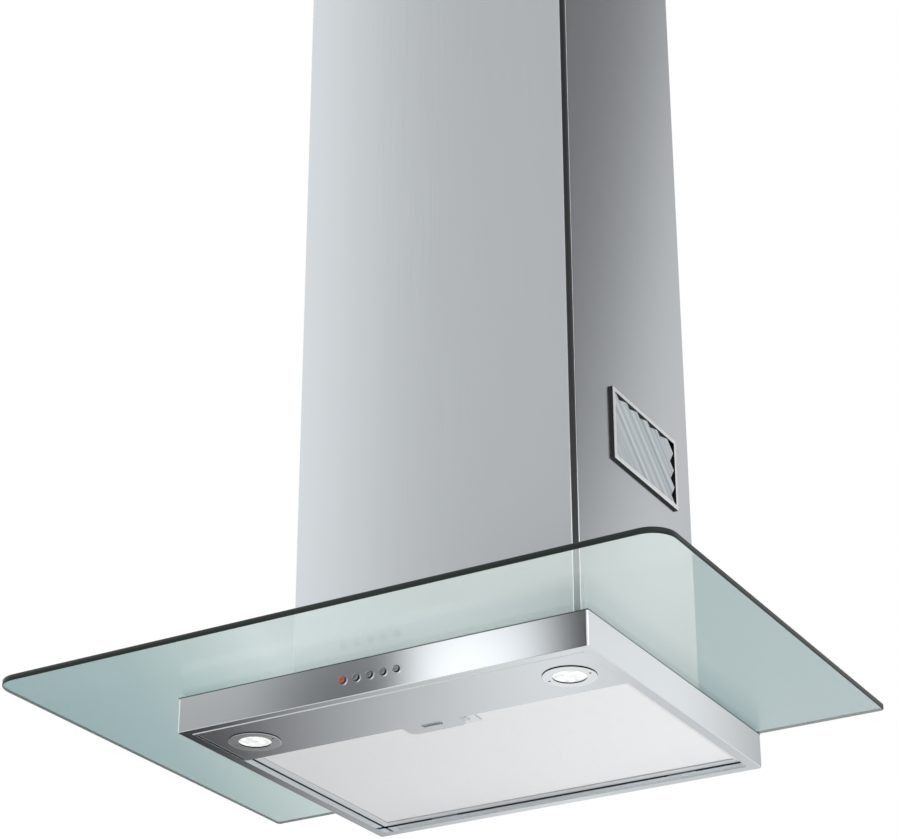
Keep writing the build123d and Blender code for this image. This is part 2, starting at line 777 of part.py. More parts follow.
with BuildPart() as wall_bracket:
    with BuildSketch(Plane.XY.offset(-bracket_height / 2)):
        with Locations((0, -bracket_depth / 2)):
            Rectangle(bracket_width, bracket_depth)
            channel_size = (bracket_width - 2 * bracket_sheet, bracket_depth - 2 * bracket_sheet)
            Rectangle(*channel_size, mode=Mode.SUBTRACT)
        with Locations((0, -bracket_depth + bracket_sheet / 2)):
            Rectangle(bracket_width - 2 * bracket_foot, bracket_sheet, mode=Mode.SUBTRACT)
    extrude(amount=bracket_height)
    with BuildSketch(Plane.XZ):
        with GridLocations(wall_hole_spacing_x, wall_hole_spacing_z, 2, 2):
            Circle(wall_hole_radius)
    extrude(amount=bracket_sheet, mode=Mode.SUBTRACT)
keep(wall_bracket, "wall_bracket")

# Struts that hold the chimney's sides off the motor box
strut_start = motor_box_width / 2
strut_end = side_x - sheet
strut_z = glass_top + motor_box_height / 2

with BuildPart() as chimney_strut_right:
    with BuildSketch(Plane.XZ.offset(motor_box_middle)):
        with Locations((strut_start + strut_sheet / 2, strut_z - strut_height / 2)):
            Rectangle(strut_sheet, strut_height)
        with Locations(((strut_start + strut_end) / 2, strut_z - strut_sheet / 2)):
            Rectangle(strut_end - strut_start, strut_sheet)
        with Locations((strut_end - strut_sheet / 2, strut_z - strut_sheet + strut_height / 2)):
            Rectangle(strut_sheet, strut_height)
    extrude(amount=strut_length / 2, both=True)
keep(chimney_strut_right, "chimney_strut_right")

with BuildPart() as chimney_strut_left:
    mirror(chimney_strut_right.part, about=Plane.YZ)
keep(chimney_strut_left, "chimney_strut_left")

# Blower scroll: a wrap and two cheeks, with its outlet up through the top of the motor box
scroll_z = glass_top + scroll_lift + scroll_radius
scroll_top = box_top - sheet
outlet_middle = (-outlet_distance, (scroll_z + scroll_top) / 2)
outlet_rise = scroll_top - scroll_z
fan_radius = scroll_radius - scroll_wall - fan_gap
inlet_radius = fan_radius - inlet_overlap
wrap_half = scroll_half - scroll_wall

with BuildPart() as scroll_wrap:
    with BuildSketch(Plane.YZ):
        with Locations((-scroll_distance, scroll_z)):
            Circle(scroll_radius)
        with Locations(outlet_middle):
            Rectangle(outlet_depth, outlet_rise)
        with Locations((-scroll_distance, scroll_z)):
            Circle(scroll_radius - scroll_wall, mode=Mode.SUBTRACT)
        with Locations(outlet_middle):
            Rectangle(outlet_depth - 2 * scroll_wall, outlet_rise, mode=Mode.SUBTRACT)
    extrude(amount=wrap_half, both=True)
keep(scroll_wrap, "scroll_wrap")

with BuildPart() as scroll_cheek_right:
    with BuildSketch(Plane.YZ.offset(wrap_half)):
        with Locations((-scroll_distance, scroll_z)):
            Circle(scroll_radius)
        with Locations(outlet_middle):
            Rectangle(outlet_depth, outlet_rise)
        with Locations((-scroll_distance, scroll_z)):
            Circle(inlet_radius, mode=Mode.SUBTRACT)
    extrude(amount=scroll_wall)
keep(scroll_cheek_right, "scroll_cheek_right")

with BuildPart() as scroll_cheek_left:
    mirror(scroll_cheek_right.part, about=Plane.YZ)
keep(scroll_cheek_left, "scroll_cheek_left")

# Motor inside the left half of the fan wheel, on a mount across the left inlet
fan_plane = Plane((0, -scroll_distance, scroll_z), x_dir=(0, 1, 0), z_dir=(1, 0, 0))
blade_inner = fan_radius - blade_depth
motor_radius = blade_inner - motor_gap
bearing_radius = shaft_radius + shaft_run + bearing_wall

with BuildPart() as motor_mount:
    with BuildSketch(fan_plane.offset(-scroll_half)):
        Circle(inlet_radius + mount_rim)
        Circle(inlet_radius, mode=Mode.SUBTRACT)
        Circle(motor_radius)
        with PolarLocations((motor_radius + inlet_radius) / 2, mount_arm_count):
            Rectangle(inlet_radius - motor_radius + mount_rim, mount_arm)
    extrude(amount=-mount_sheet)
keep(motor_mount, "motor_mount")

with BuildPart() as motor:
    with BuildSketch(fan_plane.offset(-scroll_half)):
        Circle(motor_radius)
        Circle(bearing_radius + bearing_fit, mode=Mode.SUBTRACT)
    extrude(amount=scroll_half - motor_end)
keep(motor, "motor")

with BuildPart() as motor_bearings:
    for bearing_x in (-scroll_half, -motor_end - bearing_length):
        with BuildSketch(fan_plane.offset(bearing_x)):
            Circle(bearing_radius)
            Circle(shaft_radius + shaft_run, mode=Mode.SUBTRACT)
        extrude(amount=bearing_length)
keep(motor_bearings, "motor_bearings")

disc_x = -motor_end + disc_gap
shaft_start = -scroll_half + sheet
shaft_end = disc_x + disc_thickness + hub_length

with BuildPart() as fan_shaft:
    with BuildSketch(fan_plane.offset(shaft_start)):
        Circle(shaft_radius)
    extrude(amount=shaft_end - shaft_start)
keep(fan_shaft, "fan_shaft")

fan_half = scroll_half - scroll_wall - fan_side_gap

def fan_blades(start, end):
    with BuildPart() as blades:
        with BuildSketch(fan_plane.offset(start)):
            with PolarLocations((fan_radius + blade_inner) / 2, blade_count):
                Rectangle(blade_depth - blade_thickness, blade_thickness)
        extrude(amount=end - start)
    return blades


keep(fan_blades(-fan_half + fan_ring, disc_x), "fan_blades_left")
keep(fan_blades(disc_x + disc_thickness, fan_half - fan_ring), "fan_blades_right")

with BuildPart() as fan_rings:
    for ring_x in (-fan_half, fan_half - fan_ring):
        with BuildSketch(fan_plane.offset(ring_x)):
            Circle(fan_radius)
            Circle(blade_inner, mode=Mode.SUBTRACT)
        extrude(amount=fan_ring)
keep(fan_rings, "fan_rings")

with BuildPart() as fan_disc:
    with BuildSketch(fan_plane.offset(disc_x)):
        Circle(fan_radius)
    extrude(amount=disc_thickness)
    with BuildSketch(fan_plane.offset(disc_x)):
        Circle(hub_radius)
    extrude(amount=disc_thickness + hub_length)
    with BuildSketch(fan_plane.offset(disc_x)):
        Circle(shaft_radius + bearing_fit)
    extrude(amount=disc_thickness + hub_length, mode=Mode.SUBTRACT)
keep(fan_disc, "fan_disc")

# Outlet collar for the duct, with a stop ring under the damper flaps
collar_plane = Plane((0, -outlet_distance, box_top))
collar_bore = collar_radius - collar_wall
stop_top = pin_height - flap_thickness / 2 - flap_rest
pin_plane = Plane((0, -outlet_distance, box_top + pin_height), x_dir=(0, 1, 0), z_dir=(1, 0, 0))

with BuildPart() as outlet_collar:
    with BuildSketch(collar_plane):
        Circle(collar_radius + collar_flange)
        Circle(collar_bore, mode=Mode.SUBTRACT)
    extrude(amount=collar_wall)
    with BuildSketch(collar_plane):
        Circle(collar_radius)
        Circle(collar_bore, mode=Mode.SUBTRACT)
    extrude(amount=collar_height)
    with BuildSketch(collar_plane.offset(stop_top - stop_thickness)):
        Circle(collar_radius)
        Circle(collar_bore - stop_width, mode=Mode.SUBTRACT)
    extrude(amount=stop_thickness)
    with BuildSketch(pin_plane):
        Circle(pin_radius + pin_fit)
    extrude(amount=collar_radius, both=True, mode=Mode.SUBTRACT)
keep(outlet_collar, "outlet_collar")

with BuildPart() as damper_pin:
    with BuildSketch(pin_plane):
        Circle(pin_radius)
    extrude(amount=collar_radius - pin_fit, both=True)
keep(damper_pin, "damper_pin")

flap_radius = collar_bore - flap_gap
knuckle_radius = pin_radius + pin_fit + knuckle_wall
flap_start = knuckle_radius + knuckle_gap
flap_plane = collar_plane.offset(pin_height - flap_thickness / 2)

for flap_name, sign in (("damper_flap_front", -1), ("damper_flap_rear", 1)):
    knuckle_shift = sign * knuckle_pitch / 4
    knuckle_xs = [knuckle_shift - knuckle_pitch / 2, knuckle_shift + knuckle_pitch / 2]
    with BuildPart() as damper_flap:
        with BuildSketch(flap_plane):
            Circle(flap_radius)
            with Locations((0, sign * (flap_start + flap_radius / 2))):
                Rectangle(2 * flap_radius, flap_radius, mode=Mode.INTERSECT)
            for x in knuckle_xs:
                with Locations((x, sign * (flap_start + knuckle_gap) / 2)):
                    Rectangle(knuckle_length, flap_start + knuckle_gap)
        extrude(amount=flap_thickness)
        for x in knuckle_xs:
            with BuildSketch(pin_plane.offset(x)):
                Circle(knuckle_radius)
            extrude(amount=knuckle_length / 2, both=True)
        with BuildSketch(pin_plane):
            Circle(pin_radius + pin_fit)
        extrude(amount=collar_radius, both=True, mode=Mode.SUBTRACT)
    keep(damper_flap, flap_name)

# Terminal box with its cover and cable gland, and the motor's capacitor
terminal_x = motor_box_width / 2 - terminal_inset - terminal_length / 2
terminal_distance = motor_box_front - terminal_inset - terminal_length / 2
terminal_plane = Plane((terminal_x, -terminal_distance, box_top))
terminal_rear = terminal_distance - terminal_length / 2
terminal_inner = terminal_length - 2 * terminal_wall
gland_place = (terminal_x, box_top + terminal_height / 2)

with BuildPart() as terminal_box:
    with BuildSketch(terminal_plane):
        Rectangle(terminal_length, terminal_length)
    extrude(amount=terminal_height)
    with BuildSketch(terminal_plane.offset(terminal_wall)):
        Rectangle(terminal_inner, terminal_inner)
    extrude(amount=terminal_height, mode=Mode.SUBTRACT)
    with BuildSketch(Plane.XZ.offset(terminal_rear)):
        with Locations(gland_place):
            Circle(gland_radius + gland_fit)
    extrude(amount=terminal_wall, mode=Mode.SUBTRACT)
keep(terminal_box, "terminal_box")

with BuildPart() as terminal_cover:
    with BuildSketch(terminal_plane.offset(terminal_height)):
        Rectangle(terminal_length, terminal_length)
    extrude(amount=terminal_wall)
keep(terminal_cover, "terminal_cover")

with BuildPart() as cable_gland:
    with BuildSketch(Plane.XZ.offset(terminal_rear + terminal_wall)):
        with Locations(gland_place):
            Circle(gland_radius)
    extrude(amount=-gland_length)
    with BuildSketch(Plane.XZ.offset(terminal_rear)):
        with Locations(gland_place):
            RegularPolygon(gland_nut_radius, 6)
    extrude(amount=-gland_nut_length)
    with BuildSketch(Plane.XZ.offset(terminal_rear + terminal_wall)):
        with Locations(gland_place):
            Circle(gland_bore)
    extrude(amount=-gland_length, mode=Mode.SUBTRACT)
keep(cable_gland, "cable_gland")

capacitor_plane = Plane((-terminal_x, -terminal_distance, box_top))

with BuildPart() as capacitor:
    with BuildSketch(capacitor_plane):
        Circle(capacitor_radius)
    extrude(amount=capacitor_height)
    fillet(capacitor.faces().sort_by(Axis.Z)[-1].edges(), capacitor_edge)
keep(capacitor, "capacitor")
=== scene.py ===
import bpy
import bmesh
import math
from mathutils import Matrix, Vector


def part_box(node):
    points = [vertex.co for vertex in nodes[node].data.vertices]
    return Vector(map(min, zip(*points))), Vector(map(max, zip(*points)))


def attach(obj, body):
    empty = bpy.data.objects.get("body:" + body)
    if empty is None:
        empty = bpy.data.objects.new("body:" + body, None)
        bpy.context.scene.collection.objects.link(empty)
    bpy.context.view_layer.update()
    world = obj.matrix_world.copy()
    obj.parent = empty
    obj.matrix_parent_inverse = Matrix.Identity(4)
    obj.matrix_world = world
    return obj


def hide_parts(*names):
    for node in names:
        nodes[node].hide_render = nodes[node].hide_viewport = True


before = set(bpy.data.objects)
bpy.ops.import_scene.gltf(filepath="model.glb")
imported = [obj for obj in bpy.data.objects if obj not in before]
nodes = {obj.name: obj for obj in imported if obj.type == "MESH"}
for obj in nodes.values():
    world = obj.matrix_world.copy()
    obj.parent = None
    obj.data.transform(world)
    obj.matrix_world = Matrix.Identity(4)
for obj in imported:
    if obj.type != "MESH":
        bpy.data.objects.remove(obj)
scene = bpy.context.scene
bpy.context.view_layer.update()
print("frame loaded:", len(nodes), "nodes")

noiseLow, noiseHigh = 0.3, 0.7  # where most of a noise texture lies


def hexColor(code):  # sRGB hex to linear RGBA
    parts = [int(code[i:i + 2], 16) / 255 for i in (1, 3, 5)]
    return (*[c / 12.92 if c <= 0.04045 else ((c + 0.055) / 1.055) ** 2.4 for c in parts], 1.0)


def darker(color, factor):
    return (*[c * factor for c in color[:3]], 1.0)


def addNode(tree, kind, inputs=None, **settings):
    node = tree.nodes.new(kind)
    for key, value in settings.items():
        setattr(node, key, value)
    for key, value in (inputs or {}).items():
        if isinstance(value, bpy.types.NodeSocket):
            tree.links.new(value, node.inputs[key])
        else:
            node.inputs[key].default_value = value
    return node


def newMaterial(name):
    material = bpy.data.materials.new(name)
    material.use_nodes = True
    material.node_tree.nodes.clear()
    return material, material.node_tree


def dress(material, *names):
    for name in names:
        for slot in nodes[name].material_slots:
            slot.material = material


def placePiece(name, mesh, body, *materials):
    piece = bpy.data.objects.new(name, mesh)
    scene.collection.objects.link(piece)
    for material in materials:
        mesh.materials.append(material)
    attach(piece, body)
    return piece


# Brushed stainless steel: rolled sheet with a fine straight grain, which spreads highlights across it
steelLook = {
    "light": "#DBE0E4", "dark": "#D4D9DD",
    "grainWide": 0.0006,  # 0.6 mm, drawn coarser than the real 0.1 mm so that it shows
    "grainLong": 0.12,  # 120 mm
    "detail": 4.0, "fineness": 0.62, "unevenness": 0.06,
    "anisotropy": 0.5, "bump": 0.0016, "bumpDepth": 0.0004,
}
steelSheets = {  # grain: the axes it runs along, turn: of the highlight's spread
    "brushedSteelUpright": {
        "grain": "Z", "tangent": "Z", "turn": 0.0, "roughness": 0.2,
        "nodes": ["chimney_front", "chimney_side_left", "chimney_side_right", "upper_chimney"]},
    "brushedSteelLevel": {
        "grain": "XY", "tangent": "Z", "turn": 0.25, "roughness": 0.13,
        "nodes": ["body_shell", "button_collars"]},
    "brushedSteelUnder": {
        "grain": "XZ", "tangent": "X", "turn": 0.0, "roughness": 0.15,
        "nodes": ["lamp_plate", "filter_latch"]},
}


def brushedSteel(name, look):
    material, tree = newMaterial(name)
    wide, long = 1 / steelLook["grainWide"], 1 / steelLook["grainLong"]
    less, more = 1 - steelLook["unevenness"], 1 + steelLook["unevenness"]
    coords = addNode(tree, "ShaderNodeTexCoord")
    mapping = addNode(tree, "ShaderNodeMapping", {
        "Vector": coords.outputs["Object"],
        "Scale": [long if axis in look["grain"] else wide for axis in "XYZ"]})
    streaks = addNode(tree, "ShaderNodeTexNoise", {
        "Vector": mapping.outputs[0], "Scale": 1.0, "Detail": steelLook["detail"],
        "Roughness": steelLook["fineness"]})
    color = addNode(tree, "ShaderNodeMix", {
        0: streaks.outputs[0], 6: hexColor(steelLook["dark"]), 7: hexColor(steelLook["light"])},
        data_type="RGBA")
    rough = addNode(tree, "ShaderNodeMapRange", {
        0: streaks.outputs[0], 1: noiseLow, 2: noiseHigh,
        3: look["roughness"] * less, 4: look["roughness"] * more})
    bump = addNode(tree, "ShaderNodeBump", {
        "Height": streaks.outputs[0], "Strength": steelLook["bump"], "Distance": steelLook["bumpDepth"]})
    along = addNode(tree, "ShaderNodeTangent", direction_type="RADIAL", axis=look["tangent"])
    shader = addNode(tree, "ShaderNodeBsdfPrincipled", {
        "Base Color": color.outputs[2], "Metallic": 1.0, "Roughness": rough.outputs[0],
        "Anisotropic": steelLook["anisotropy"], "Anisotropic Rotation": look["turn"],
        "Tangent": along.outputs[0], "Normal": bump.outputs[0]})
    addNode(tree, "ShaderNodeOutputMaterial", {"Surface": shader.outputs[0]})
    dress(material, *look["nodes"])
    return material


steelMaterials = {name: brushedSteel(name, look) for name, look in steelSheets.items()}
print("steel sheets dressed")


# Plain finishes: one row for each, with the size of its surface grain in millimetres
finishes = {
    "zincSheet": {
        "color": "#A9ADB0", "metallic": 1.0, "roughness": 0.42, "grainMm": 9.0, "bump": 0.05,
        "nodes": ["top_plate", "motor_box", "wall_bracket", "chimney_strut_left", "chimney_strut_right",
                  "upper_bracket", "latch_guide", "motor_mount"]},
    "plainSteel": {
        "color": "#9A9C9E", "metallic": 1.0, "roughness": 0.3, "grainMm": 0.5, "bump": 0.02,
        "nodes": ["canopy_screws", "canopy_nuts", "upper_screws", "fan_shaft", "motor_bearings",
                  "damper_pin"]},
    "filterAluminium": {
        "color": "#E8EAEC", "metallic": 1.0, "roughness": 0.36, "grainMm": 1.0, "bump": 0.03,
        "nodes": ["filter_frame"]},
    "blackPolypropylene": {
        "color": "#1B1B1C", "metallic": 0.0, "roughness": 0.52, "grainMm": 0.6, "bump": 0.08,
        "nodes": ["scroll_wrap", "scroll_cheek_left", "scroll_cheek_right", "fan_blades_left",
                  "fan_blades_right", "fan_rings", "fan_disc", "switch_block", "outlet_collar",
                  "damper_flap_front", "damper_flap_rear", "terminal_box", "terminal_cover", "cable_gland",
                  # corner_strips: black strips in the chimney's corner gaps, standing in for painted shade
                  # there
                  "lamp_housing_left", "lamp_housing_right", "corner_strips"]},
    "foamRubber": {
        "color": "#202122", "metallic": 0.0, "roughness": 0.85, "grainMm": 0.9, "bump": 0.25,
        # grille_seals: black seals round the vent grilles, giving their dark outline as painted shade
        "nodes": ["glass_gasket", "glass_bushes", "grille_seals"]},
    "motorEnamel": {
        "color": "#3A3B3D", "metallic": 0.0, "roughness": 0.38, "grainMm": 1.4, "bump": 0.05,
        "nodes": ["motor"]},
    "capacitorCan": {
        "color": "#C9CBCC", "metallic": 0.0, "roughness": 0.3, "grainMm": 1.2, "bump": 0.03,
        "nodes": ["capacitor"]},
}
grainLook = {  # shared by the finishes
    "cloudMm": 25.0,  # clouds of handling and dust
    "cloudDetail": 2.0, "cloud": 0.94,  # how dark the clouds are
    "detail": 3.0, "unevenness": 0.12, "bumpDepth": 0.0005,
}


def plainFinish(name, look):
    material, tree = newMaterial(name)
    less, more = 1 - grainLook["unevenness"], 1 + grainLook["unevenness"]
    coords = addNode(tree, "ShaderNodeTexCoord")
    grain = addNode(tree, "ShaderNodeTexNoise", {
        "Vector": coords.outputs["Object"], "Scale": 1000 / look["grainMm"], "Detail": grainLook["detail"]})
    patches = addNode(tree, "ShaderNodeTexNoise", {
        "Vector": coords.outputs["Object"], "Scale": 1000 / grainLook["cloudMm"],
        "Detail": grainLook["cloudDetail"]})
    base = hexColor(look["color"])
    deep = darker(base, look.get("cloud", grainLook["cloud"]))
    color = addNode(tree, "ShaderNodeMix", {0: patches.outputs[0], 6: deep, 7: base}, data_type="RGBA")
    rough = addNode(tree, "ShaderNodeMapRange", {
        0: grain.outputs[0], 1: noiseLow, 2: noiseHigh,
        3: look["roughness"] * less, 4: look["roughness"] * more})
    bump = addNode(tree, "ShaderNodeBump", {
        "Height": grain.outputs[0], "Strength": look["bump"], "Distance": grainLook["bumpDepth"]})
    shader = addNode(tree, "ShaderNodeBsdfPrincipled", {
        "Base Color": color.outputs[2], "Metallic": look["metallic"], "Roughness": rough.outputs[0],
        "Normal": bump.outputs[0]})
    addNode(tree, "ShaderNodeOutputMaterial", {"Surface": shader.outputs[0]})
    dress(material, *look["nodes"])
    return material


for name, look in finishes.items():
    plainFinish(name, look)
print("plain finishes dressed")


# Vent grilles: metallised ABS, drawn along the flutes, with a painted highlight on the frame and painted
# shade on the walls behind them
grilleLook = {
    # frame: painted highlight on the frame's outer face; wall: painted shade on the walls behind the flutes
    # and the frame's sides
    "light": "#CBD1D5", "dark": "#A0A7AC", "frame": "#F3F5F6", "wall": "#0E0F10",
    "metallic": 0.6, "roughness": 0.3, "bump": 0.15, "bumpDepth": 0.0005,
    "across": (0.0, 0.643, 0.766),  # square to the flutes, which run at 40 degrees
    "lineMm": 2.4, "detail": 3.0, "fineness": 0.6, "contrast": (0.32, 0.68),
    "frameX": 0.1582,  # the frame stands further out than this
    "wallTurn": (0.3, 0.6),  # share of the normal along X, from a wall to an outward face
    "nodes": ["vent_grille_left", "vent_grille_right"],
}
material, tree = newMaterial("metallisedAbs")
coords = addNode(tree, "ShaderNodeTexCoord")
across = addNode(tree, "ShaderNodeVectorMath", {
    0: coords.outputs["Object"], 1: grilleLook["across"]}, operation="DOT_PRODUCT")
lines = addNode(tree, "ShaderNodeTexNoise", {
    "W": across.outputs["Value"], "Scale": 1000 / grilleLook["lineMm"], "Detail": grilleLook["detail"],
    "Roughness": grilleLook["fineness"]}, noise_dimensions="1D")
spread = addNode(tree, "ShaderNodeMapRange", {
    0: lines.outputs[0], 1: grilleLook["contrast"][0], 2: grilleLook["contrast"][1]})
plate = addNode(tree, "ShaderNodeMix", {
    0: spread.outputs[0], 6: hexColor(grilleLook["dark"]), 7: hexColor(grilleLook["light"])},
    data_type="RGBA")
place = addNode(tree, "ShaderNodeSeparateXYZ", {0: coords.outputs["Object"]})
out = addNode(tree, "ShaderNodeMath", {0: place.outputs["X"]}, operation="ABSOLUTE")
# painted highlight: the frame's outer face, further out than frameX, is coloured brighter than the plate
onFrame = addNode(tree, "ShaderNodeMath", {
    0: out.outputs[0], 1: grilleLook["frameX"]}, operation="GREATER_THAN")
plateWithPaintedHighlight = addNode(tree, "ShaderNodeMix", {
    0: onFrame.outputs[0], 6: plate.outputs[2], 7: hexColor(grilleLook["frame"])}, data_type="RGBA")
# painted shade: faces turned away from X (the walls behind the flutes and the frame's sides) go near black
facing = addNode(tree, "ShaderNodeSeparateXYZ", {0: coords.outputs["Normal"]})
turned = addNode(tree, "ShaderNodeMath", {0: facing.outputs["X"]}, operation="ABSOLUTE")
outward = addNode(tree, "ShaderNodeMapRange", {
    0: turned.outputs[0], 1: grilleLook["wallTurn"][0], 2: grilleLook["wallTurn"][1]})
color = addNode(tree, "ShaderNodeMix", {
    0: outward.outputs[0], 6: hexColor(grilleLook["wall"]), 7: plateWithPaintedHighlight.outputs[2]}, data_type="RGBA")
bump = addNode(tree, "ShaderNodeBump", {
    "Height": lines.outputs[0], "Strength": grilleLook["bump"], "Distance": grilleLook["bumpDepth"]})
shader = addNode(tree, "ShaderNodeBsdfPrincipled", {
    "Base Color": color.outputs[2], "Metallic": grilleLook["metallic"],
    "Roughness": grilleLook["roughness"], "Normal": bump.outputs[0]})
addNode(tree, "ShaderNodeOutputMaterial", {"Surface": shader.outputs[0]})
dress(material, *grilleLook["nodes"])
print("vent grilles dressed")


# Lamp lenses: pressed glass, lit from behind, with facets
lensLook = {
    "glass": "#7C7F7E", "light": "#FCFDFB", "dark": "#C6D2D0", "glow": 0.86, "roughness": 0.3,
    "facetMm": 4.5, "contrast": (0.3, 0.75), "bump": 0.1, "bumpDepth": 0.0008,
    "nodes": ["lamp_lens_left", "lamp_lens_right"],
}
material, tree = newMaterial("pressedLens")
coords = addNode(tree, "ShaderNodeTexCoord")
facets = addNode(tree, "ShaderNodeTexVoronoi", {
    "Vector": coords.outputs["Object"], "Scale": 1000 / lensLook["facetMm"]}, feature="SMOOTH_F1")
spread = addNode(tree, "ShaderNodeMapRange", {
    0: facets.outputs["Distance"], 1: lensLook["contrast"][0], 2: lensLook["contrast"][1]})
light = addNode(tree, "ShaderNodeMix", {
    0: spread.outputs[0], 6: hexColor(lensLook["light"]), 7: hexColor(lensLook["dark"])}, data_type="RGBA")
bump = addNode(tree, "ShaderNodeBump", {
    "Height": facets.outputs["Distance"], "Strength": lensLook["bump"], "Distance": lensLook["bumpDepth"]})
shader = addNode(tree, "ShaderNodeBsdfPrincipled", {
    "Base Color": hexColor(lensLook["glass"]), "Roughness": lensLook["roughness"],
    "Emission Color": light.outputs[2], "Emission Strength": lensLook["glow"], "Normal": bump.outputs[0]})
addNode(tree, "ShaderNodeOutputMaterial", {"Surface": shader.outputs[0]})
dress(material, *lensLook["nodes"])
print("lamp lenses dressed")


# Buttons and lamp rings: bright faces with their sides painted dark as painted shade and painted reflection,
# the light button's face lit amber
trimLook = {  # axis: which way the face looks
    "chromedCap": {
        "face": "#8E9194", "side": "#0C0C0D", "axis": "Y", "metallic": 0.9, "roughness": 0.16, "glow": 0.0,
        "nodes": ["fan_off_button", "fan_low_button", "fan_mid_button", "fan_high_button"]},
    "amberCap": {
        "face": "#A8583C", "side": "#2A0F08", "axis": "Y", "metallic": 0.3, "roughness": 0.16, "glow": 0.12,
        "nodes": ["light_button"]},
    "satinChrome": {
        "face": "#E4E8EA", "side": "#17181A", "axis": "Z", "metallic": 1.0, "roughness": 0.2, "glow": 0.0,
        "nodes": ["lamp_ring_left", "lamp_ring_right"]},
}
trimShared = {
    "faceTurn": (-0.35, -0.85),  # share of the normal along the axis, from a side to the face
    "scuffScale": 700.0,  # 1.4 mm marks
    "unevenness": 0.2,
}
for name, look in trimLook.items():
    material, tree = newMaterial(name)
    less, more = 1 - trimShared["unevenness"], 1 + trimShared["unevenness"]
    coords = addNode(tree, "ShaderNodeTexCoord")
    facing = addNode(tree, "ShaderNodeSeparateXYZ", {0: coords.outputs["Normal"]})
    front = addNode(tree, "ShaderNodeMapRange", {
        0: facing.outputs[look["axis"]], 1: trimShared["faceTurn"][0], 2: trimShared["faceTurn"][1]})
    scuff = addNode(tree, "ShaderNodeTexNoise", {
        "Vector": coords.outputs["Object"], "Scale": trimShared["scuffScale"]})
    rough = addNode(tree, "ShaderNodeMapRange", {
        0: scuff.outputs[0], 3: look["roughness"] * less, 4: look["roughness"] * more})
    # painted shade: faces turned away from the axis take the dark side colour instead of the face colour
    color = addNode(tree, "ShaderNodeMix", {
        0: front.outputs[0], 6: hexColor(look["side"]), 7: hexColor(look["face"])}, data_type="RGBA")
    shader = addNode(tree, "ShaderNodeBsdfPrincipled", {
        "Base Color": color.outputs[2], "Metallic": look["metallic"], "Roughness": rough.outputs[0],
        "Emission Color": color.outputs[2], "Emission Strength": look["glow"]})
    addNode(tree, "ShaderNodeOutputMaterial", {"Surface": shader.outputs[0]})
    dress(material, *look["nodes"])
print("buttons and lamp rings dressed")


# Hem along the inner edge of the body's front rim, the bright line beside the lamp plate
hemLook = {"halfLength": 0.208, "front": -0.3602, "width": 0.0016, "drop": 0.0006, "lip": 0.0006}
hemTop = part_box("body_shell")[0][2]
hemBottom = hemTop - hemLook["drop"]
hemRear = hemLook["front"] + hemLook["width"]
hemOutline = [(hemLook["front"], hemTop), (hemRear - hemLook["lip"], hemBottom), (hemRear, hemBottom),
              (hemRear, hemTop)]
hemPoints = [(x, y, z) for x in (-hemLook["halfLength"], hemLook["halfLength"]) for y, z in hemOutline]
hemSides = [(i, (i + 1) % 4, (i + 1) % 4 + 4, i + 4) for i in range(4)]
hemEnds = [(0, 3, 2, 1), (4, 5, 6, 7)]
hemMesh = bpy.data.meshes.new("rimHem")
hemMesh.from_pydata(hemPoints, [], hemSides + hemEnds)
hem = placePiece("rimHem", hemMesh, "hood", steelMaterials["brushedSteelLevel"])
print("rim hem:", len(hemMesh.polygons), "faces")


# Lips folded in from the flanges of the lamp plate's tab, which close the filter's notch beside it
lipLook = {"inner": 0.017, "outer": 0.0312, "front": -0.2695, "rear": -0.2503, "low": -0.15, "high": -0.1492}
lipShape = bmesh.new()
for sign in (-1, 1):
    for vert in bmesh.ops.create_cube(lipShape, size=1.0)["verts"]:
        vert.co = (sign * lipLook["outer" if vert.co.x > 0 else "inner"],
                   lipLook["rear" if vert.co.y > 0 else "front"],
                   lipLook["high" if vert.co.z > 0 else "low"])
bmesh.ops.recalc_face_normals(lipShape, faces=lipShape.faces)
lipMesh = bpy.data.meshes.new("tabLips")
lipShape.to_mesh(lipMesh)
lipShape.free()
lips = placePiece("tabLips", lipMesh, "hood", steelMaterials["brushedSteelUnder"])
print("tab lips:", len(lipMesh.polygons), "faces")


# Glass canopy: float glass with a faint green cast and a painted glow on its faces, dark along its polished
# edge
canopyLook = {
    "face": "#E6F1ED", "roughness": 0.01,
    "ior": 1.18,  # low, because the pane's own mirror images hardly show
    "veilIor": 1.9, "veilRoughness": 0.4,  # soft sheen over the face
    "paintedGlow": "#DDF2EC", "paintedGlowLevel": 0.098,  # painted glow: emission standing in for studio light scattered in the pane
    "edge": "#26302C", "edgeRoughness": 0.3, "edgeGloss": 0.2,
    "grindScale": 300.0, "grindDark": 0.7,  # 3 mm waviness of the ground edge
    "frontRadius": 0.024, "rearRadius": 0.004, "arris": 0.0007, "cornerSteps": 10,
    "throat": (-0.125, -0.235, 0.125, -0.040), "throatRadius": 0.012,
    "holes": [(x, y) for x in (-0.1415, 0.1415) for y in (-0.070, -0.205)],
    "holeRadius": 0.0051, "holeSteps": 24,
    "weld": 1e-5, "faceTurn": 0.9,  # faces turned further up or down than this are the pane's own
}


def roundedOutline(low, high, radii, steps):  # corners: right front, right rear, left rear, left front
    corners = [(high[0], low[1], -90), (high[0], high[1], 0), (low[0], high[1], 90), (low[0], low[1], 180)]
    points = []
    for (x, y, start), radius in zip(corners, radii):
        cx = x - radius if x == high[0] else x + radius
        cy = y - radius if y == high[1] else y + radius
        for i in range(steps + 1):
            angle = math.radians(start + 90 * i / steps)
            points.append((cx + radius * math.cos(angle), cy + radius * math.sin(angle)))
    return points


